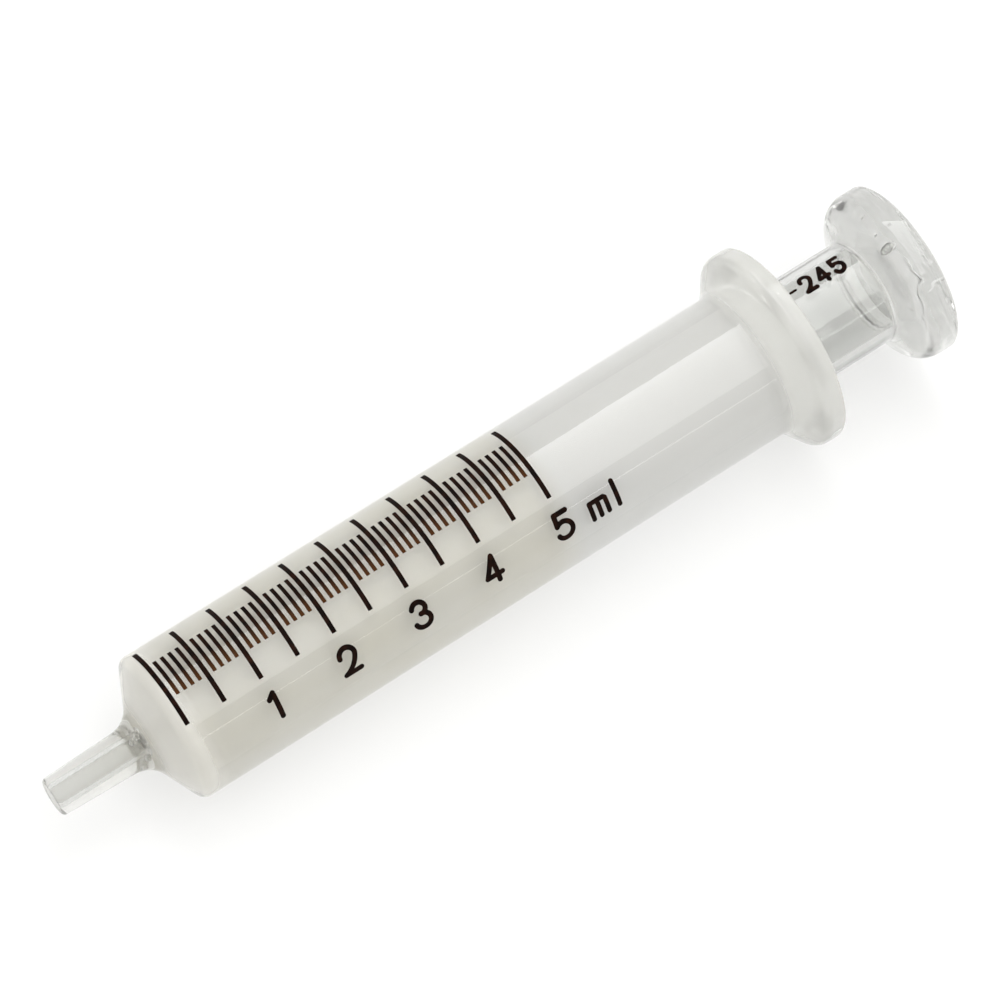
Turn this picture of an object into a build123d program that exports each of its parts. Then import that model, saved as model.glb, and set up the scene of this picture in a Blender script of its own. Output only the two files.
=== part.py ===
from build123d import *
import os
from math import atan2, cos, degrees, pi, radians, sin, tan

# An all-glass syringe lying on its side. Lengths are in millimetres and angles in degrees.
# The axis of the barrel runs along +X from the nozzle's tip to the thumb knob, over the origin.
# The origin is on the resting surface, midway along the syringe, and +Z is up.
# An angle round the axis is measured from +Z towards +Y.

# Barrel
CAPACITY_ML = 5
BORE_DIAMETER = 12.3
BARREL_WALL = 1.8
PLAIN_LENGTH = 26.7          # from the last scale line to the flange's root
SHOULDER_LENGTH = 2.77
SHOULDER_WALL = 1.67         # the cone is a little thinner than the tube
SHOULDER_ROUND = 1.05
BORE_MOUTH_ROUND = 0.4

# Nozzle: a slip cone with the standard 6 % taper
NOZZLE_LENGTH = 9.87
NOZZLE_TIP_DIAMETER = 4.08
NOZZLE_TAPER = 0.06
NOZZLE_ROOT_ROUND = 3.0
NOZZLE_TIP_ROUND = 0.45
LUMEN_DIAMETER = 1.8
LUMEN_MOUTH_ROUND = 0.2

# Finger flange
FLANGE_OVERHANG = 3.14
FLANGE_RIM_THICKNESS = 2.1
FLANGE_SLOPE = 52.0          # the front face's angle to the axis
FLANGE_ROOT_ROUND = 1.5
FLANGE_FRONT_ROUND = 1.33
FLANGE_REAR_ROUND = 0.3

# Plunger
GROUND_CLEARANCE = 0.02      # between the ground plunger and the bore, on the radius
FRONT_GAP = 0.1              # between the plunger's front edge and the end of the bore
FRONT_THICKNESS = 1.5
FRONT_EDGE_ROUND = 0.4
PLUNGER_WALL = 1.5
VOID_FRONT_ROUND = 1.0
VOID_REAR_ROUND = 1.8
GROUND_SETBACK = 0.6         # from the end of the ground length to the barrel's rear face
NECK_STEP = 0.41             # how far the stem's surface lies below the ground surface
NECK_LENGTH = 0.8
EXPOSED_STEM = 10.28         # between the flange and the knob with the plunger fully in

# Thumb knob
KNOB_OVERHANG = 3.82
KNOB_RIM_THICKNESS = 3.45
KNOB_SLOPE = 68.0            # the front face's angle to the axis
KNOB_ROOT_ROUND = 0.9
KNOB_FRONT_ROUND = 2.6
KNOB_REAR_ROUND = 0.35
KNOB_POCKET = 1.6            # how far the plunger's void reaches into the knob

# Fired enamel scale
ENAMEL_THICKNESS = 0.045
LONG_LINE_WIDTH = 0.49
LONG_LINE_ANGLES = (-27.6, 49.7)
SHORT_LINE_WIDTH = 0.4
SHORT_LINE_ANGLES = (-6.1, 26.9)
LONG_LINES_PER_ML = 2
SHORT_LINES_PER_ML = 10

# Numerals and unit mark; a glyph's height and width run to the middle of its strokes
NUMERAL_HEIGHT = 2.78
NUMERAL_WIDTH = 1.72
NUMERAL_STROKE = 0.54
NUMERAL_ANGLE = -50.5        # the middle of the numerals' height
UNIT_GAP = 3.2               # from the last scale line to the first stroke of the unit
UNIT_WIDTH = 1.8
UNIT_STROKE = 0.5
UNIT_LETTER_GAP = 1.25
LOWER_CASE_SHARE = 0.66      # height of a small letter, as a share of a numeral's

# Pair number on the stem
PAIR_DIGITS = (2, 4, 5)
PAIR_HEIGHT = 2.0
PAIR_WIDTH = 1.1
PAIR_STROKE = 0.48
PAIR_PITCH = 1.85
PAIR_DASH_LENGTH = 0.9
PAIR_DASH_STROKE = 0.28
PAIR_ANGLE = 18.3
PAIR_SETBACK = 2.5           # from the middle of the last digit to the knob

# Radii
bore_radius = BORE_DIAMETER / 2
barrel_radius = bore_radius + BARREL_WALL
flange_radius = barrel_radius + FLANGE_OVERHANG
lumen_radius = LUMEN_DIAMETER / 2
nozzle_tip_radius = NOZZLE_TIP_DIAMETER / 2
nozzle_root_radius = nozzle_tip_radius + NOZZLE_LENGTH * NOZZLE_TAPER / 2
ground_radius = bore_radius - GROUND_CLEARANCE
void_radius = ground_radius - PLUNGER_WALL
stem_radius = ground_radius - NECK_STEP
knob_radius = stem_radius + KNOB_OVERHANG

# Lengths that follow from others
ml_length = 1000 / (pi * bore_radius**2)
scale_length = CAPACITY_ML * ml_length
shoulder_angle = atan2(barrel_radius - nozzle_root_radius, SHOULDER_LENGTH)
shoulder_to_bore = (SHOULDER_WALL * sin(shoulder_angle)
                    - (BARREL_WALL - SHOULDER_WALL * cos(shoulder_angle)) / tan(shoulder_angle))
bore_to_lumen = (bore_radius - lumen_radius) / tan(shoulder_angle)
flange_slope_length = FLANGE_OVERHANG / tan(radians(FLANGE_SLOPE))
flange_length = flange_slope_length + FLANGE_RIM_THICKNESS
knob_slope_length = KNOB_OVERHANG / tan(radians(KNOB_SLOPE))
knob_length = knob_slope_length + KNOB_RIM_THICKNESS
overall_length = (NOZZLE_LENGTH + SHOULDER_LENGTH + shoulder_to_bore + FRONT_GAP + scale_length
                  + PLAIN_LENGTH + flange_length + EXPOSED_STEM + knob_length)

# Stations along the axis, from the tip to the knob's rear face
x_tip = -overall_length / 2
x_nozzle_root = x_tip + NOZZLE_LENGTH
x_shoulder = x_nozzle_root + SHOULDER_LENGTH
x_bore_front = x_shoulder + shoulder_to_bore
x_lumen_end = x_bore_front - bore_to_lumen
x_zero = x_bore_front + FRONT_GAP
x_full = x_zero + scale_length
x_flange_root = x_full + PLAIN_LENGTH
x_flange_joint = x_flange_root - FLANGE_ROOT_ROUND * tan(radians(FLANGE_SLOPE / 2))
x_flange_rim = x_flange_root + flange_slope_length
x_flange_rear = x_flange_root + flange_length
x_ground_end = x_flange_rear - GROUND_SETBACK
x_stem = x_ground_end + NECK_LENGTH
x_knob_root = x_flange_rear + EXPOSED_STEM
x_knob_rim = x_knob_root + knob_slope_length
x_knob_rear = x_knob_root + knob_length
x_knob_joint = x_knob_root - KNOB_ROOT_ROUND * tan(radians(KNOB_SLOPE / 2))
z_axis = flange_radius


def revolved(points):
    """Closed outline of (x, radius) points turned round the syringe's axis, which is +X here."""
    return revolve(make_face(Polyline(points, close=True)), Axis.X, 360)


def rounded(solid, x, radius, size):
    """The solid with its circular edge at station x rounded."""
    circles = solid.edges().filter_by(GeomType.CIRCLE)
    rim = min(circles, key=lambda edge: abs(edge.arc_center.X - x) + abs(edge.radius - radius))
    return fillet(rim, size)


def between(solid, x_from, x_to):
    """The stretch of a solid between two stations."""
    reach = 2 * flange_radius
    slab = Box(x_to - x_from, reach, reach, align=(Align.MIN, Align.CENTER, Align.CENTER))
    return solid & Pos(x_from, 0, 0) * slab


def barrel_glass():
    """The whole barrel, from the nozzle's tip to the flange's rear face, with its bore and lumen."""
    glass = revolved([
        (x_tip, lumen_radius),
        (x_tip, nozzle_tip_radius),
        (x_nozzle_root, nozzle_root_radius),
        (x_shoulder, barrel_radius),
        (x_flange_root, barrel_radius),
        (x_flange_rim, flange_radius),
        (x_flange_rear, flange_radius),
        (x_flange_rear, bore_radius),
        (x_bore_front, bore_radius),
        (x_lumen_end, lumen_radius),
    ])
    glass = rounded(glass, x_tip, nozzle_tip_radius, NOZZLE_TIP_ROUND)
    glass = rounded(glass, x_tip, lumen_radius, LUMEN_MOUTH_ROUND)
    glass = rounded(glass, x_nozzle_root, nozzle_root_radius, NOZZLE_ROOT_ROUND)
    glass = rounded(glass, x_shoulder, barrel_radius, SHOULDER_ROUND)
    glass = rounded(glass, x_flange_root, barrel_radius, FLANGE_ROOT_ROUND)
    glass = rounded(glass, x_flange_rim, flange_radius, FLANGE_FRONT_ROUND)
    glass = rounded(glass, x_flange_rear, flange_radius, FLANGE_REAR_ROUND)
    return rounded(glass, x_flange_rear, bore_radius, BORE_MOUTH_ROUND)


def plunger_glass():
    """The whole plunger, closed at both ends round a sealed void."""
    glass = revolved([
        (x_zero, 0),
        (x_zero, ground_radius),
        (x_ground_end, ground_radius),
        (x_stem, stem_radius),
        (x_knob_root, stem_radius),
        (x_knob_rim, knob_radius),
        (x_knob_rear, knob_radius),
        (x_knob_rear, 0),
    ])
    glass = rounded(glass, x_zero, ground_radius, FRONT_EDGE_ROUND)
    glass = rounded(glass, x_knob_root, stem_radius, KNOB_ROOT_ROUND)
    glass = rounded(glass, x_knob_rim, knob_radius, KNOB_FRONT_ROUND)
    glass = rounded(glass, x_knob_rear, knob_radius, KNOB_REAR_ROUND)

    x_void_front = x_zero + FRONT_THICKNESS
    x_void_rear = x_knob_root + KNOB_POCKET
    void = revolved([
        (x_void_front, 0),
        (x_void_front, void_radius),
        (x_void_rear, void_radius),
        (x_void_rear, 0),
    ])
    void = rounded(void, x_void_front, void_radius, VOID_FRONT_ROUND)
    void = rounded(void, x_void_rear, void_radius, VOID_REAR_ROUND)
    return glass - void


def enamel_ring(x, radius, width, angles):
    """A bar of enamel across the axis, on glass of this radius, between two angles."""
    low, high = angles
    outline = Pos(x, radius + ENAMEL_THICKNESS / 2) * Rectangle(width, ENAMEL_THICKNESS)
    bar = revolve(outline, Axis.X, high - low)
    return Rot(X=90 - high) * bar


def scale_lines(per_ml, skip_every, width, angles):
    """Lines from 0 to the capacity, without those that a longer line takes the place of."""
    lines = []
    for number in range(CAPACITY_ML * per_ml + 1):
        if skip_every and number % skip_every == 0:
            continue
        lines.append(enamel_ring(x_zero + number * ml_length / per_ml, barrel_radius, width, angles))
    return lines


# Glyphs are pen strokes in a cell that is 1 wide, from -0.5 to 0.5, and 1 high, from 0 to 1.
# A stroke is two points for a straight line, or three for an arc.
GLYPHS = {
    "-": [((-0.5, 0.5), (0.5, 0.5))],
    "1": [((-0.22, 0.82), (0.12, 1.0)), ((0.12, 1.0), (0.12, 0.0))],
    "2": [((-0.48, 0.7), (0.0, 1.0), (0.48, 0.68)), ((0.48, 0.68), (0.3, 0.42), (-0.5, 0.0)),
          ((-0.5, 0.0), (0.5, 0.0))],
    "3": [((-0.42, 0.84), (0.0, 1.0), (0.4, 0.76)), ((0.4, 0.76), (0.3, 0.6), (0.0, 0.54)),
          ((0.0, 0.54), (0.48, 0.28), (0.0, 0.0)), ((0.0, 0.0), (-0.3, 0.05), (-0.5, 0.22))],
    "4": [((0.2, 0.0), (0.2, 1.0)), ((0.2, 1.0), (-0.5, 0.26)), ((-0.5, 0.26), (0.5, 0.26))],
    "5": [((0.44, 1.0), (-0.34, 1.0)), ((-0.34, 1.0), (-0.4, 0.56)),
          ((-0.4, 0.56), (0.5, 0.34), (-0.04, 0.0)), ((-0.04, 0.0), (-0.3, 0.04), (-0.48, 0.18))],
    "m": [((-0.5, 0.0), (-0.5, 1.0)), ((-0.5, 1.0), (0.4, 1.0)), ((0.4, 1.0), (0.5, 0.9)),
          ((0.0, 1.0), (0.0, 0.0)), ((0.5, 0.9), (0.5, 0.0))],
    "l": [((0.0, 0.0), (0.0, 1.0))],
}


def pen_stroke(points, pen):
    """One stroke of a round pen, as a flat face."""
    path = Line(*points) if len(points) == 2 else ThreePointArc(*points)
    dot = Circle(pen / 2)
    return trace(path, pen) + Pos(path @ 0) * dot + Pos(path @ 1) * dot


def glyph(letter, width, height, pen):
    """A glyph standing on the middle of its cell, in the plane of the sketch."""
    face = Sketch()
    for stroke in GLYPHS[letter]:
        points = [(x * width, (y - 0.5) * height) for x, y in stroke]
        face += pen_stroke(points, pen)
    return face


def enamel_glyph(letter, x, radius, angle, width, height, pen, rise=0.0):
    """A glyph of fired enamel on glass of this radius, upright towards larger angles."""
    outward = Vector(0, sin(radians(angle)), cos(radians(angle)))
    tangent = Plane(origin=Vector(x, 0, 0) + outward * radius, x_dir=(1, 0, 0), z_dir=outward)
    flat = tangent * Pos(0, rise) * glyph(letter, width, height, pen)
    block = extrude(flat, radius / 2, both=True)
    reach = 2 * (width + pen)
    skin = Cylinder(radius + ENAMEL_THICKNESS, reach) - Cylinder(radius, reach)
    return block & Pos(x, 0, 0) * Rot(Y=90) * skin


def numeral(value):
    """The numeral of a whole millilitre, under its line."""
    x = x_zero + value * ml_length
    cell = (NUMERAL_WIDTH, NUMERAL_HEIGHT, NUMERAL_STROKE)
    return enamel_glyph(str(value), x, barrel_radius, NUMERAL_ANGLE, *cell)


def unit_mark():
    """The two letters of the unit, on the numerals' base line."""
    x_m = x_full + UNIT_GAP + UNIT_WIDTH / 2
    x_l = x_m + UNIT_WIDTH / 2 + UNIT_LETTER_GAP
    low_height = NUMERAL_HEIGHT * LOWER_CASE_SHARE
    drop = (low_height - NUMERAL_HEIGHT) / 2
    return [
        enamel_glyph("m", x_m, barrel_radius, NUMERAL_ANGLE, UNIT_WIDTH, low_height, UNIT_STROKE, drop),
        enamel_glyph("l", x_l, barrel_radius, NUMERAL_ANGLE, UNIT_STROKE, NUMERAL_HEIGHT, UNIT_STROKE),
    ]


def pair_number():
    """The number that pairs a plunger with its barrel, behind a short dash."""
    x_last = x_knob_root - PAIR_SETBACK
    x_dash = x_last - len(PAIR_DIGITS) * PAIR_PITCH
    dash_cell = (PAIR_DASH_LENGTH, PAIR_HEIGHT, PAIR_DASH_STROKE)
    digit_cell = (PAIR_WIDTH, PAIR_HEIGHT, PAIR_STROKE)
    marks = [enamel_glyph("-", x_dash, stem_radius, PAIR_ANGLE, *dash_cell)]
    for place, digit in enumerate(reversed(PAIR_DIGITS)):
        x = x_last - place * PAIR_PITCH
        marks.append(enamel_glyph(str(digit), x, stem_radius, PAIR_ANGLE, *digit_cell))
    return marks


def write_node(name, shape):
    """Write one node, lifted so that the flange touches the resting surface."""
    solids = shape if isinstance(shape, list) else [shape]
    lifted = [Pos(0, 0, z_axis) * solid for part in solids for solid in part.solids()]
    export_step(lifted[0] if len(lifted) == 1 else Compound(children=lifted), f"parts/{name}.step")
    print(f"{name}: {len(lifted)} solid(s)")


os.makedirs("parts", exist_ok=True)

barrel = barrel_glass()
write_node("nozzle", between(barrel, x_tip, x_lumen_end))
write_node("barrel_tube", between(barrel, x_lumen_end, x_flange_joint))
write_node("finger_flange", between(barrel, x_flange_joint, x_flange_rear))

plunger = plunger_glass()
x_front_joint = x_zero + FRONT_THICKNESS + VOID_FRONT_ROUND
write_node("plunger_front", between(plunger, x_zero, x_front_joint))
write_node("plunger_tube", between(plunger, x_front_joint, x_ground_end))
write_node("plunger_stem", between(plunger, x_ground_end, x_knob_joint))
write_node("thumb_knob", between(plunger, x_knob_joint, x_knob_rear))

long_step = SHORT_LINES_PER_ML // LONG_LINES_PER_ML
write_node("half_ml_lines", scale_lines(LONG_LINES_PER_ML, 0, LONG_LINE_WIDTH, LONG_LINE_ANGLES))
write_node("tenth_ml_lines", scale_lines(SHORT_LINES_PER_ML, long_step, SHORT_LINE_WIDTH, SHORT_LINE_ANGLES))
for value in range(1, CAPACITY_ML + 1):
    write_node(f"numeral_{value}", numeral(value))
write_node("unit_mark", unit_mark())
write_node("pair_number", pair_number())

print(f"x: tip {x_tip:.3f}, shoulder {x_shoulder:.3f}, lumen end {x_lumen_end:.3f}, zero {x_zero:.3f}")
print(f"x: full {x_full:.3f}, flange joint {x_flange_joint:.3f}, flange rear {x_flange_rear:.3f}")
print(f"x: ground end {x_ground_end:.3f}, knob root {x_knob_root:.3f}, knob rear {x_knob_rear:.3f}")
print(f"axis {z_axis:.3f} up, scale {scale_length:.3f} long, shoulder {degrees(shoulder_angle):.2f} deg")
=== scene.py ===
from math import atan2, cos, pi, radians, sin, sqrt, tan
from random import Random

import bmesh
import bpy
from mathutils import Matrix, Vector, noise


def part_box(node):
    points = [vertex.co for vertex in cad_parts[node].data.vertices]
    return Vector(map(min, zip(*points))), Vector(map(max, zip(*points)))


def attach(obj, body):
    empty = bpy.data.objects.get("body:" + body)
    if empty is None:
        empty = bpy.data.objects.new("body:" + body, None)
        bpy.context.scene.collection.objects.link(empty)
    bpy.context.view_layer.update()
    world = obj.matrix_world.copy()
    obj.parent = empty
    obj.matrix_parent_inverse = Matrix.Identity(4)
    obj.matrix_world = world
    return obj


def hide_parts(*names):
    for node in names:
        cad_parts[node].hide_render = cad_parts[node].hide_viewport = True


# An all-glass syringe. The barrel and the plunger are each one closed shell of glass, turned round the
# syringe's axis on the places of the CAD nodes that they replace. The fired scale is the CAD's own.

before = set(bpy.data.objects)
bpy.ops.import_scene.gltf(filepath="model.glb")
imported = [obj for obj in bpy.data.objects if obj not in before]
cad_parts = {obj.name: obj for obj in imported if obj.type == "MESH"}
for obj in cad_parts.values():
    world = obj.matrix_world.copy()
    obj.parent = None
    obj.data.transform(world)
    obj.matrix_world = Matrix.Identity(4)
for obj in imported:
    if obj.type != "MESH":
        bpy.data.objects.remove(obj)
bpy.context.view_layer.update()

MM = 0.001

# Stations along the axis and radii, from the frame
tip_low, tip_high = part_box("nozzle")
tube_low, tube_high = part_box("barrel_tube")
flange_low, flange_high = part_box("finger_flange")
front_low, front_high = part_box("plunger_front")
knob_low, knob_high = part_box("thumb_knob")
stem_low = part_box("plunger_stem")[0]
lines_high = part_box("half_ml_lines")[1]

axis_z = (tube_low.z + tube_high.z) / 2
x_tip = tip_low.x
x_lumen_end = tip_high.x
x_flange_joint = flange_low.x
x_flange_rear = flange_high.x
x_zero = front_low.x
x_full = lines_high.x
x_ground_end = stem_low.x
x_knob_joint = knob_low.x
x_knob_rear = knob_high.x
barrel_radius = tube_high.y
flange_radius = flange_high.y
ground_radius = front_high.y
knob_radius = knob_high.y

# The rest of the design's sizes, as in the CAD
BARREL_WALL = 1.8 * MM
NOZZLE_LENGTH = 9.87 * MM
NOZZLE_TIP_RADIUS = 2.04 * MM
NOZZLE_TIP_ROUND = 0.45 * MM
NOZZLE_ROOT_ROUND = 3.0 * MM
NOZZLE_TAPER = 0.06
LUMEN_RADIUS = 0.9 * MM
LUMEN_MOUTH_ROUND = 0.2 * MM
SHOULDER_LENGTH = 2.77 * MM
SHOULDER_WALL = 1.67 * MM
SHOULDER_ROUND = 1.05 * MM
FLANGE_SLOPE = radians(52)
FLANGE_ROOT_ROUND = 1.5 * MM
FLANGE_FRONT_ROUND = 1.33 * MM
FLANGE_REAR_ROUND = 0.3 * MM
BORE_MOUTH_ROUND = 0.4 * MM
FRONT_THICKNESS = 1.5 * MM
FRONT_EDGE_ROUND = 0.4 * MM
PLUNGER_WALL = 1.5 * MM
VOID_FRONT_ROUND = 1.0 * MM
VOID_REAR_ROUND = 1.8 * MM
NECK_STEP = 0.41 * MM
NECK_LENGTH = 0.8 * MM
KNOB_SLOPE = radians(68)
KNOB_ROOT_ROUND = 0.9 * MM
KNOB_FRONT_ROUND = 2.6 * MM
KNOB_REAR_ROUND = 0.35 * MM
KNOB_POCKET = 1.6 * MM

# Small roundings that the hand-worked glass has and the CAD leaves sharp
BORE_FRONT_ROUND = 0.3 * MM
LUMEN_END_ROUND = 0.4 * MM
NECK_ROUND = 0.5 * MM

x_nozzle_root = x_tip + NOZZLE_LENGTH
nozzle_root_radius = NOZZLE_TIP_RADIUS + NOZZLE_LENGTH * NOZZLE_TAPER / 2
shoulder_slope = atan2(barrel_radius - nozzle_root_radius, SHOULDER_LENGTH)
bore_radius = barrel_radius - BARREL_WALL

# Looks
GLASS_IOR = 1.48
CLEAN = (0.92, 0.92, 0.9, 1)
# The ground glass is tinted darker and warmer than CLEAN over the scale
SCALE_TINT = (0.865, 0.84, 0.735, 1)
STEM_TINT = (0.78, 0.785, 0.77, 1)
KNOB_TINT = (0.77, 0.775, 0.755, 1)
CLEAR = 0.92                 # the share of the light that polished glass lets through
MILKY = 0.15                 # and ground glass
GROUND_ROUGHNESS = 0.5
SMUDGE_ROUGHNESS = 0.08
THIN_PRINT = (-0.9 * MM, 1.2 * MM)     # the print thins towards the near ends of the short lines

# Noise patterns, as cycles for each metre along and across the syringe
DRAWN = (12, 900, 900)
WORKED = (140, 180, 180)
SMUDGED = (160, 420, 420)
CLOUDED = (90, 260, 260)
GROUND_GRAIN = (9000, 5000, 5000)
PITTED = (1500, 1500, 1500)

# Mesh fineness
TURN_STEPS = 192
ARC_STEPS = 10
RUN_STEP = 1.5 * MM
HOLD = 0.06 * MM             # a ring this close to each end of a rounding keeps the shading of the run true
BOND = 0.003 * MM            # how far the enamel's inner face lies in the glass

# How the flange's and the knob's rims depart from a true circle
RIM_WAVES = 160              # waves for each metre
RIM_DEPTH = 0.04             # as a share of how far the rim stands out
RIM_START = 0.2 * MM         # how far out of the tube the unevenness starts
BUBBLE_STRETCH = 1.3


def outline(corners):
    """Points of a closed (x, radius) outline whose corners are rounded by arcs and whose runs are divided."""
    points = []
    count = len(corners)
    for index, (x, radius, rounding) in enumerate(corners):
        corner = Vector((x, radius))
        before = Vector(corners[index - 1][:2]) - corner
        after = Vector(corners[(index + 1) % count][:2]) - corner
        if rounding == 0:
            points.append(corner)
            continue
        before.normalize()
        after.normalize()
        half_angle = before.angle(after) / 2
        tangent = rounding / tan(half_angle)
        centre = corner + (before + after).normalized() * (rounding / sin(half_angle))
        start = corner + before * tangent
        end = corner + after * tangent
        sweep = (start - centre).angle_signed(end - centre)
        points.append(start + before * HOLD)
        for step in range(ARC_STEPS + 1):
            turn = Matrix.Rotation(-sweep * step / ARC_STEPS, 2)
            points.append(centre + turn @ (start - centre))
        points.append(end + after * HOLD)
    return divided(points)


def divided(points):
    """The closed outline with its long runs cut into short ones."""
    result = []
    for index, point in enumerate(points):
        following = points[(index + 1) % len(points)]
        pieces = max(1, round((following - point).length / RUN_STEP))
        result += [point.lerp(following, piece / pieces) for piece in range(pieces)]
    return result


def ring_point(x, radius, angle):
    """A point round the syringe's axis."""
    return Vector((x, radius * sin(angle), axis_z + radius * cos(angle)))


def hand_worked(x, radius, angle, tube_radius):
    """A point round the axis, a little lower where a rim that stands out from its tube was formed by hand."""
    rise = max(0.0, radius - tube_radius - RIM_START)
    wave = noise.noise(ring_point(x, radius, angle) * RIM_WAVES)
    return ring_point(x, radius - rise * RIM_DEPTH * max(0.0, 0.5 + wave), angle)


def lathe(outlines, tube_radius):
    """Vertices and faces of closed outlines turned round the axis. A point on the axis becomes a pole."""
    vertices = []
    faces = []
    turns = [2 * pi * step / TURN_STEPS for step in range(TURN_STEPS)]
    for points in outlines:
        rings = []
        for point in points:
            start = len(vertices)
            if point.y == 0:
                vertices.append((point.x, 0, axis_z))
                rings.append([start] * TURN_STEPS)
                continue
            vertices += [hand_worked(point.x, point.y, angle, tube_radius) for angle in turns]
            rings.append(list(range(start, start + TURN_STEPS)))
        for ring, following in zip(rings, rings[1:] + rings[:1]):
            if ring[0] == ring[1] and following[0] == following[1]:
                continue
            for step in range(TURN_STEPS):
                after = (step + 1) % TURN_STEPS
                corners = [ring[step], following[step], following[after], ring[after]]
                face = [v for place, v in enumerate(corners) if v != corners[place - 1]]
                faces.append(face)
    return vertices, faces


def add_bubbles(mesh, bubbles):
    """Air trapped in the glass: small closed hollows, drawn out along the syringe."""
    glass = bmesh.new()
    glass.from_mesh(mesh)
    for centre, radius in bubbles:
        place = Matrix.Translation(centre) @ Matrix.Diagonal((BUBBLE_STRETCH * radius, radius, radius, 1))
        made = bmesh.ops.create_icosphere(glass, subdivisions=3, radius=1, matrix=place)
        walls = {face for vertex in made["verts"] for face in vertex.link_faces}
        bmesh.ops.reverse_faces(glass, faces=list(walls))
    glass.to_mesh(mesh)
    glass.free()


def scattered(draw, count, x_range, radius_range, size_range):
    """Places and sizes of bubbles in a ring of glass."""
    bubbles = []
    for _ in range(count):
        centre = ring_point(draw.uniform(*x_range), draw.uniform(*radius_range), draw.uniform(0, 2 * pi))
        bubbles.append((centre, draw.uniform(*size_range)))
    return bubbles


def shell(name, outlines, tube_radius, bubbles, body, materials, material_of, replaced):
    """A closed glass shell that rides on a body and stands for its CAD nodes."""
    vertices, faces = lathe(outlines, tube_radius)
    mesh = bpy.data.meshes.new(name)
    mesh.from_pydata(vertices, [], faces)
    add_bubbles(mesh, bubbles)
    for material in materials:
        mesh.materials.append(material)
    for polygon in mesh.polygons:
        centre = polygon.center
        polygon.material_index = material_of(centre.x, sqrt(centre.y**2 + (centre.z - axis_z)**2))
        polygon.use_smooth = True
    mesh.update()
    piece = bpy.data.objects.new(name, mesh)
    bpy.context.scene.collection.objects.link(piece)
    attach(piece, body)
    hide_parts(*replaced)


class Nodes:
    """A material's node tree, with short ways to add and join nodes."""

    def __init__(self, name):
        self.material = bpy.data.materials.new(name)
        self.material.use_nodes = True
        self.tree = self.material.node_tree
        self.shader = self.tree.nodes["Principled BSDF"]

    def add(self, kind, **settings):
        """A new node, with its attributes and unlinked sockets set by name."""
        node = self.tree.nodes.new(kind)
        for key, value in settings.items():
            if hasattr(node, key):
                setattr(node, key, value)
            else:
                node.inputs[key.replace("_", " ")].default_value = value
        return node

    def link(self, output, target):
        """Join two sockets."""
        self.tree.links.new(output, target)

    def set(self, **values):
        """Set the shader's own sockets."""
        for key, value in values.items():
            self.shader.inputs[key.replace("_", " ")].default_value = value

    def place(self, stretch):
        """Coordinates in the row frame, scaled along each axis."""
        coordinates = self.add("ShaderNodeTexCoord")
        mapping = self.add("ShaderNodeMapping")
        mapping.inputs["Scale"].default_value = stretch
        self.link(coordinates.outputs["Object"], mapping.inputs["Vector"])
        return mapping.outputs["Vector"]

    def coordinate(self, axis):
        """One coordinate in the row frame, by its letter."""
        position = self.add("ShaderNodeSeparateXYZ")
        self.link(self.place((1, 1, 1)), position.inputs["Vector"])
        return position.outputs[axis]

    def noise(self, stretch, detail=3.0):
        """Noise in the row frame."""
        texture = self.add("ShaderNodeTexNoise", Scale=1.0, Detail=detail, Roughness=0.5)
        self.link(self.place(stretch), texture.inputs["Vector"])
        return texture.outputs["Fac"]

    def spread(self, value, low, high, from_low=0.3, from_high=0.7):
        """A value's usual range, turned into another range."""
        ramp = self.add("ShaderNodeMapRange")
        ramp.inputs["From Min"].default_value = from_low
        ramp.inputs["From Max"].default_value = from_high
        ramp.inputs["To Min"].default_value = low
        ramp.inputs["To Max"].default_value = high
        self.link(value, ramp.inputs["Value"])
        return ramp.outputs["Result"]

    def bump(self, height, distance, strength=None):
        """Raise the shading by a height over any earlier bump, in proportion to any given strength."""
        bump = self.add("ShaderNodeBump", Strength=1.0, Distance=distance)
        self.link(height, bump.inputs["Height"])
        if strength:
            self.link(strength, bump.inputs["Strength"])
        if self.shader.inputs["Normal"].links:
            self.link(self.shader.inputs["Normal"].links[0].from_socket, bump.inputs["Normal"])
        self.link(bump.outputs["Normal"], self.shader.inputs["Normal"])

    def along(self, stops):
        """Values that change along the syringe, from (x, values) stops with four values each."""
        start = stops[0][0]
        length = stops[-1][0] - start
        ramp = self.add("ShaderNodeValToRGB")
        ramp.color_ramp.interpolation = "EASE"
        elements = ramp.color_ramp.elements
        while len(elements) < len(stops):
            elements.new(0.5)
        for element, (x, values) in zip(elements, stops):
            element.position = (x - start) / length
            element.color = values
        self.link(self.spread(self.coordinate("X"), 0.0, 1.0, start, start + length), ramp.inputs["Fac"])
        return ramp.outputs

    def smudges(self, least):
        """The roughness of handled glass, from its least to that of a smudge."""
        return self.spread(self.noise(SMUDGED, detail=4.0), least, SMUDGE_ROUGHNESS, 0.45, 0.75)


def clear_glass(name, tint, ripple, ripple_depth):
    """Clear fire-polished glass, with drawing lines or hand-worked ripples, and smudges."""
    nodes = Nodes(name)
    nodes.set(IOR=GLASS_IOR, Transmission_Weight=CLEAR, Base_Color=tint)
    nodes.link(nodes.smudges(0.0), nodes.shader.inputs["Roughness"])
    nodes.bump(nodes.noise(ripple, detail=2.0), ripple_depth)
    return nodes.material


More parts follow.
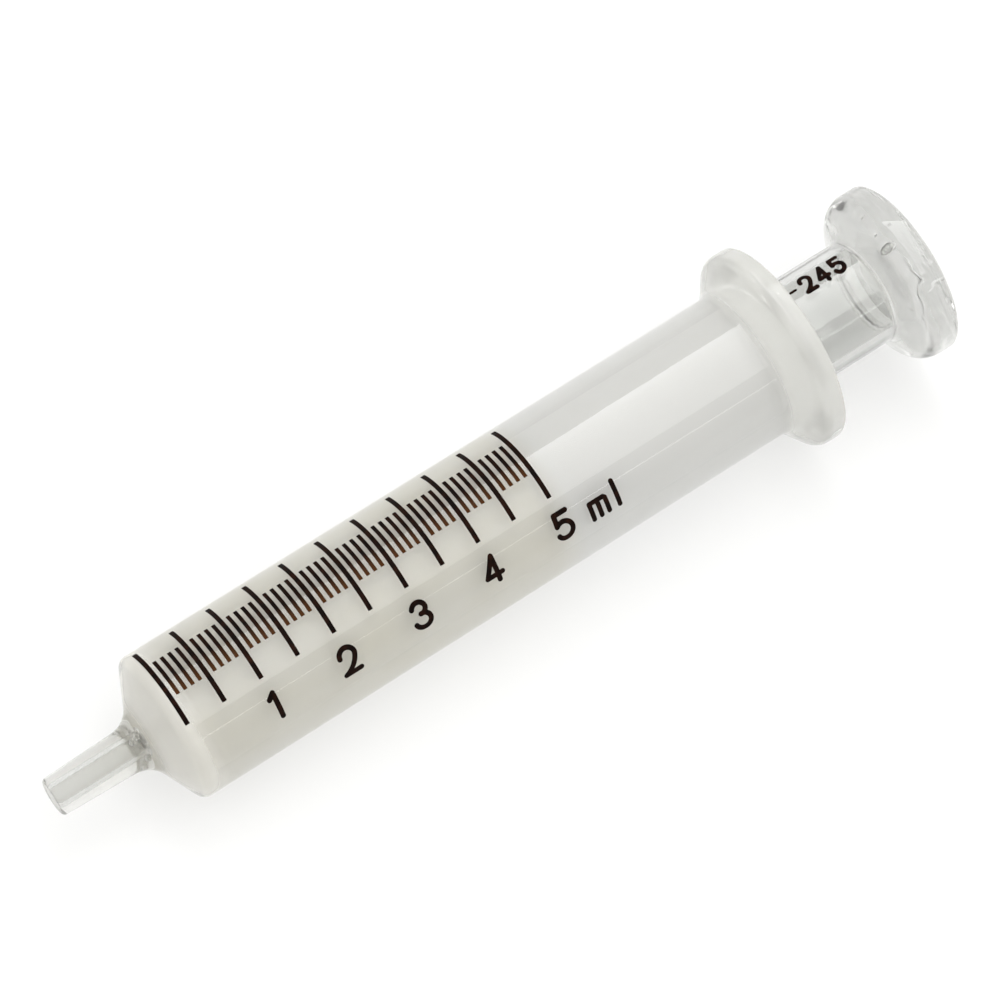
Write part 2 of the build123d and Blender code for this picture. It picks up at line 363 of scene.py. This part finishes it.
def barrel_outside_glass():
    """Fire-polished glass that is clear over the tube, and hazy where a flame has worked the ends."""
    nodes = Nodes("barrel_outside")
    nodes.set(IOR=GLASS_IOR)
    tint_and_clearness = nodes.along([
        (x_tip, (0.8, 0.8, 0.78, 0.9)),
        (x_nozzle_root, (0.78, 0.78, 0.75, 0.9)),
        (x_nozzle_root + 1.2 * MM, (0.9, 0.89, 0.86, 0.55)),
        (x_zero - 0.5 * MM, (0.93, 0.92, 0.88, 0.6)),
        (x_zero + 2.0 * MM, (0.98, 0.98, 0.97, 0.95)),
        (x_flange_joint - 0.5 * MM, (0.98, 0.98, 0.97, 0.95)),
        (x_flange_joint + 1.2 * MM, (0.93, 0.93, 0.9, 0.65)),
        (x_flange_rear, (0.93, 0.93, 0.9, 0.65)),
    ])
    nodes.link(tint_and_clearness["Color"], nodes.shader.inputs["Base Color"])
    nodes.link(tint_and_clearness["Alpha"], nodes.shader.inputs["Transmission Weight"])
    rough_and_worked = nodes.along([
        (x_tip, (0.12, 0.5, 0, 1)),
        (x_zero - 0.5 * MM, (0.1, 1.0, 0, 1)),
        (x_zero + 1.5 * MM, (0.0, 0.0, 0, 1)),
        (x_flange_joint - 2.0 * MM, (0.0, 0.0, 0, 1)),
        (x_flange_joint + 1.5 * MM, (0.12, 1.0, 0, 1)),
        (x_flange_rear, (0.12, 1.0, 0, 1)),
    ])
    parts = nodes.add("ShaderNodeSeparateXYZ")
    nodes.link(rough_and_worked["Color"], parts.inputs["Vector"])
    rough = nodes.add("ShaderNodeMath", operation="ADD")
    nodes.link(parts.outputs["X"], rough.inputs[0])
    nodes.link(nodes.smudges(0.02), rough.inputs[1])
    nodes.link(rough.outputs["Value"], nodes.shader.inputs["Roughness"])
    nodes.bump(nodes.noise(DRAWN, detail=2.0), 0.02 * MM)
    nodes.bump(nodes.noise(WORKED, detail=2.0), 0.08 * MM, parts.outputs["Y"])
    return nodes.material


def ground_glass(name):
    """Finely ground glass: milky, with a fine grain. It is tinted darker and warmer where the scale is, in
    cloudy patches.
    """
    nodes = Nodes(name)
    nodes.set(IOR=GLASS_IOR, Transmission_Weight=MILKY)
    # Darker and warmer over the scale, in cloudy patches
    over_scale = nodes.spread(nodes.coordinate("X"), 1.0, 0.0, x_full - 1.5 * MM, x_full + 2.0 * MM)
    clouds = nodes.noise(CLOUDED, detail=5.0)
    tint_share = nodes.add("ShaderNodeMath", operation="MULTIPLY")
    nodes.link(over_scale, tint_share.inputs[0])
    nodes.link(nodes.spread(clouds, 0.6, 1.0), tint_share.inputs[1])
    tint = nodes.add("ShaderNodeMix", data_type="RGBA")
    tint.inputs["A"].default_value = CLEAN
    tint.inputs["B"].default_value = SCALE_TINT
    nodes.link(tint_share.outputs["Value"], tint.inputs["Factor"])
    nodes.link(tint.outputs["Result"], nodes.shader.inputs["Base Color"])
    rough = nodes.spread(clouds, GROUND_ROUGHNESS - 0.05, GROUND_ROUGHNESS + 0.05)
    nodes.link(rough, nodes.shader.inputs["Roughness"])
    nodes.bump(nodes.noise(GROUND_GRAIN, detail=2.0), 0.0007 * MM)
    return nodes.material


def brown_enamel(name, amber_share):
    """Fired enamel: near-black brown with a pitted satin face, and amber where the print runs thin."""
    nodes = Nodes(name)
    nodes.set(IOR=1.5, Specular_IOR_Level=0.04)
    pits = nodes.noise(PITTED)
    colour = nodes.add("ShaderNodeMix", data_type="RGBA")
    colour.inputs["A"].default_value = (0.004, 0.0015, 0.001, 1)
    colour.inputs["B"].default_value = (0.025, 0.008, 0.004, 1)
    nodes.link(nodes.spread(pits, 0.0, 1.0, 0.4, 0.8), colour.inputs["Factor"])
    amber = nodes.add("ShaderNodeMix", data_type="RGBA")
    amber.inputs["B"].default_value = (0.075, 0.028, 0.009, 1)
    nodes.link(colour.outputs["Result"], amber.inputs["A"])
    thinness = nodes.spread(nodes.coordinate("Y"), amber_share, 0.0, *THIN_PRINT)
    nodes.link(thinness, amber.inputs["Factor"])
    nodes.link(amber.outputs["Result"], nodes.shader.inputs["Base Color"])
    nodes.link(nodes.spread(pits, 0.5, 0.7), nodes.shader.inputs["Roughness"])
    nodes.bump(pits, 0.006 * MM)
    return nodes.material


def barrel_outline():
    """The barrel's outline: lumen, nozzle, shoulder, tube, flange and bore."""
    x_shoulder = x_nozzle_root + SHOULDER_LENGTH
    outside = barrel_radius + BOND
    x_bore_front = (x_shoulder + SHOULDER_WALL * sin(shoulder_slope)
                    - (BARREL_WALL - SHOULDER_WALL * cos(shoulder_slope)) / tan(shoulder_slope))
    x_flange_root = x_flange_joint + FLANGE_ROOT_ROUND * tan(FLANGE_SLOPE / 2)
    x_rim = x_flange_root + (flange_radius - barrel_radius) / tan(FLANGE_SLOPE)
    return outline([
        (x_tip, LUMEN_RADIUS, LUMEN_MOUTH_ROUND),
        (x_tip, NOZZLE_TIP_RADIUS, NOZZLE_TIP_ROUND),
        (x_nozzle_root, nozzle_root_radius, NOZZLE_ROOT_ROUND),
        (x_shoulder, outside, SHOULDER_ROUND),
        (x_flange_root, outside, FLANGE_ROOT_ROUND),
        (x_rim, flange_radius, FLANGE_FRONT_ROUND),
        (x_flange_rear, flange_radius, FLANGE_REAR_ROUND),
        (x_flange_rear, bore_radius, BORE_MOUTH_ROUND),
        (x_bore_front, bore_radius, BORE_FRONT_ROUND),
        (x_lumen_end, LUMEN_RADIUS, LUMEN_END_ROUND),
    ])


def plunger_outlines():
    """The plunger's outside and its sealed void."""
    stem_radius = ground_radius - NECK_STEP
    void_radius = ground_radius - PLUNGER_WALL
    x_knob_root = x_knob_joint + KNOB_ROOT_ROUND * tan(KNOB_SLOPE / 2)
    x_rim = x_knob_root + (knob_radius - stem_radius) / tan(KNOB_SLOPE)
    outside = outline([
        (x_zero, 0, 0),
        (x_zero, ground_radius, FRONT_EDGE_ROUND),
        (x_ground_end, ground_radius, NECK_ROUND),
        (x_ground_end + NECK_LENGTH, stem_radius, NECK_ROUND),
        (x_knob_root, stem_radius, KNOB_ROOT_ROUND),
        (x_rim, knob_radius, KNOB_FRONT_ROUND),
        (x_knob_rear, knob_radius, KNOB_REAR_ROUND),
        (x_knob_rear, 0, 0),
    ])
    x_void_front = x_zero + FRONT_THICKNESS
    x_void_rear = x_knob_root + KNOB_POCKET
    void = outline([
        (x_void_rear, 0, 0),
        (x_void_rear, void_radius, VOID_REAR_ROUND),
        (x_void_front, void_radius, VOID_FRONT_ROUND),
        (x_void_front, 0, 0),
    ])
    return [outside, void]


# The places of each shell's materials in its list
OUTSIDE, GROUND = range(2)
STEM, GROUND_PLUNGER, KNOB = range(3)


def barrel_material(x, radius):
    """The bore is ground, with the inside of the shoulder, and everything else is fire polished."""
    inside = radius < bore_radius + 0.01 * MM
    if not inside or x < x_lumen_end + 0.2 * MM or x > x_flange_rear - 0.3 * MM:
        return OUTSIDE
    within_shoulder = LUMEN_RADIUS + 0.6 * MM + (x - x_lumen_end) * tan(shoulder_slope)
    return GROUND if radius < within_shoulder or x > x_zero - 0.05 * MM else OUTSIDE


def plunger_material(x, radius):
    """The plunger's outside is ground as far as its neck."""
    if x > x_knob_joint:
        return KNOB
    outside = radius > ground_radius - 0.5 * MM or x < x_zero + 0.01 * MM
    return GROUND_PLUNGER if outside and x < x_ground_end + 0.2 * MM else STEM


def add_floor():
    """A pale floor that the shoulder and the flange both touch, so it leans a little."""
    x_flange = (x_flange_joint + x_flange_rear) / 2
    lean = atan2(flange_radius - barrel_radius, x_flange - x_zero)
    bpy.ops.mesh.primitive_plane_add(size=6, location=(x_flange, 0, -0.05 * MM), rotation=(0, lean, 0))
    floor = bpy.context.object
    floor.name = "floor"
    nodes = Nodes("pale_floor")
    nodes.set(Base_Color=(0.42, 0.42, 0.42, 1), Roughness=0.9, Specular_IOR_Level=0.0)
    nodes.set(Emission_Color=(1.0, 1.0, 0.99, 1), Emission_Strength=0.55)
    floor.data.materials.append(nodes.material)


def add_softbox(name, centre, size, brightest, dimmest):
    """A level soft light whose radiance falls from its far side to its near side."""
    light = bpy.data.lights.new(name, "AREA")
    light.shape = "RECTANGLE"
    light.size, light.size_y = size
    light.energy = pi * size[0] * size[1]
    light.use_nodes = True
    tree = light.node_tree
    place = tree.nodes.new("ShaderNodeNewGeometry")
    split = tree.nodes.new("ShaderNodeSeparateXYZ")
    curve = tree.nodes.new("ShaderNodeMath")
    curve.operation = "POWER"
    curve.inputs[1].default_value = 3.0
    ramp = tree.nodes.new("ShaderNodeMapRange")
    ramp.inputs["To Min"].default_value = dimmest
    ramp.inputs["To Max"].default_value = brightest
    tree.links.new(place.outputs["Parametric"], split.inputs["Vector"])
    tree.links.new(split.outputs["Y"], curve.inputs[0])
    tree.links.new(curve.outputs["Value"], ramp.inputs["Value"])
    tree.links.new(ramp.outputs["Result"], tree.nodes["Emission"].inputs["Strength"])
    lamp = bpy.data.objects.new(name, light)
    lamp.location = centre
    lamp.visible_camera = False
    bpy.context.scene.collection.objects.link(lamp)


def add_world(colour, overhead, level):
    """Even light from all round, dimmer near the level of the floor."""
    world = bpy.data.worlds.new("studio")
    world.use_nodes = True
    tree = world.node_tree
    background = tree.nodes["Background"]
    background.inputs["Color"].default_value = colour
    direction = tree.nodes.new("ShaderNodeTexCoord")
    split = tree.nodes.new("ShaderNodeSeparateXYZ")
    ramp = tree.nodes.new("ShaderNodeMapRange")
    ramp.inputs["From Max"].default_value = 0.7
    ramp.inputs["To Min"].default_value = level
    ramp.inputs["To Max"].default_value = overhead
    tree.links.new(direction.outputs["Generated"], split.inputs["Vector"])
    tree.links.new(split.outputs["Z"], ramp.inputs["Value"])
    tree.links.new(ramp.outputs["Result"], background.inputs["Strength"])
    bpy.context.scene.world = world


def add_camera():
    """A long lens above the near side, with the nozzle towards it."""
    azimuth = radians(-34.656)
    elevation = radians(64.607)
    distance = 0.45
    aim_right = 1.073 * MM
    aim_up = 2.461 * MM
    towards = Vector((sin(azimuth) * cos(elevation), -cos(azimuth) * cos(elevation), sin(elevation)))
    right = Vector((cos(azimuth), sin(azimuth), 0))
    up = towards.cross(right)
    aim = Vector((0, 0, axis_z)) + right * aim_right + up * aim_up
    data = bpy.data.cameras.new("camera")
    data.lens = 163.49
    data.sensor_width = 36
    data.clip_start = 0.01
    camera = bpy.data.objects.new("camera", data)
    camera.location = aim + towards * distance
    camera.rotation_euler = Matrix((right, up, towards)).transposed().to_euler()
    bpy.context.scene.collection.objects.link(camera)
    bpy.context.scene.camera = camera


def add_barrel(draw):
    """The barrel's glass, with bubbles at the nozzle's root and in the flange."""
    root_seeds = scattered(draw, 11, (x_nozzle_root - 0.9 * MM, x_nozzle_root + 0.9 * MM),
                           (1.55 * MM, 1.8 * MM), (0.16 * MM, 0.34 * MM))
    flange_seeds = scattered(draw, 9, (x_flange_rear - 2.2 * MM, x_flange_rear - 0.8 * MM),
                             (8.2 * MM, 9.8 * MM), (0.05 * MM, 0.14 * MM))
    materials = [barrel_outside_glass(), ground_glass("ground_bore")]
    shell("barrel_glass", [barrel_outline()], barrel_radius, root_seeds + flange_seeds, "barrel",
          materials, barrel_material, ["barrel_tube", "finger_flange", "nozzle"])


def add_plunger(draw):
    """The plunger's glass, with small bubbles and one large one in the knob."""
    knob_seeds = scattered(draw, 10, (x_knob_rear - 2.6 * MM, x_knob_rear - 0.7 * MM),
                           (1.5 * MM, 7.5 * MM), (0.05 * MM, 0.16 * MM))
    knob_seeds.append((ring_point(x_knob_rear - 2.2 * MM, 6.4 * MM, radians(-2)), 0.5 * MM))
    materials = [
        clear_glass("stem_glass", STEM_TINT, DRAWN, 0.05 * MM),
        ground_glass("ground_plunger"),
        clear_glass("knob_glass", KNOB_TINT, WORKED, 0.32 * MM),
    ]
    shell("plunger_glass", plunger_outlines(), ground_radius, knob_seeds, "plunger",
          materials, plunger_material, ["plunger_front", "plunger_tube", "plunger_stem", "thumb_knob"])


def fire_prints():
    """Enamel on the CAD's own prints, which runs thin on the short lines."""
    enamel = brown_enamel("brown_enamel", 0.0)
    thin_enamel = brown_enamel("thin_brown_enamel", 1.0)
    for name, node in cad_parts.items():
        if name.startswith(("numeral", "half_ml", "tenth_ml", "unit", "pair")):
            node.data.materials.clear()
            node.data.materials.append(thin_enamel if name == "tenth_ml_lines" else enamel)


add_camera()
random_draws = Random(5)
add_barrel(random_draws)
add_plunger(random_draws)
fire_prints()

add_floor()
add_world((1.0, 0.995, 0.98, 1), 1.0, 0.78)
add_softbox("overhead", (0.17, -0.045, 0.6), (0.26, 0.91), 4.8, 1.85)
add_softbox("strip", (0.152, -0.507, 0.281), (0.3, 0.03), 4.0, 4.0)

bpy.context.scene.view_settings.view_transform = "Standard"
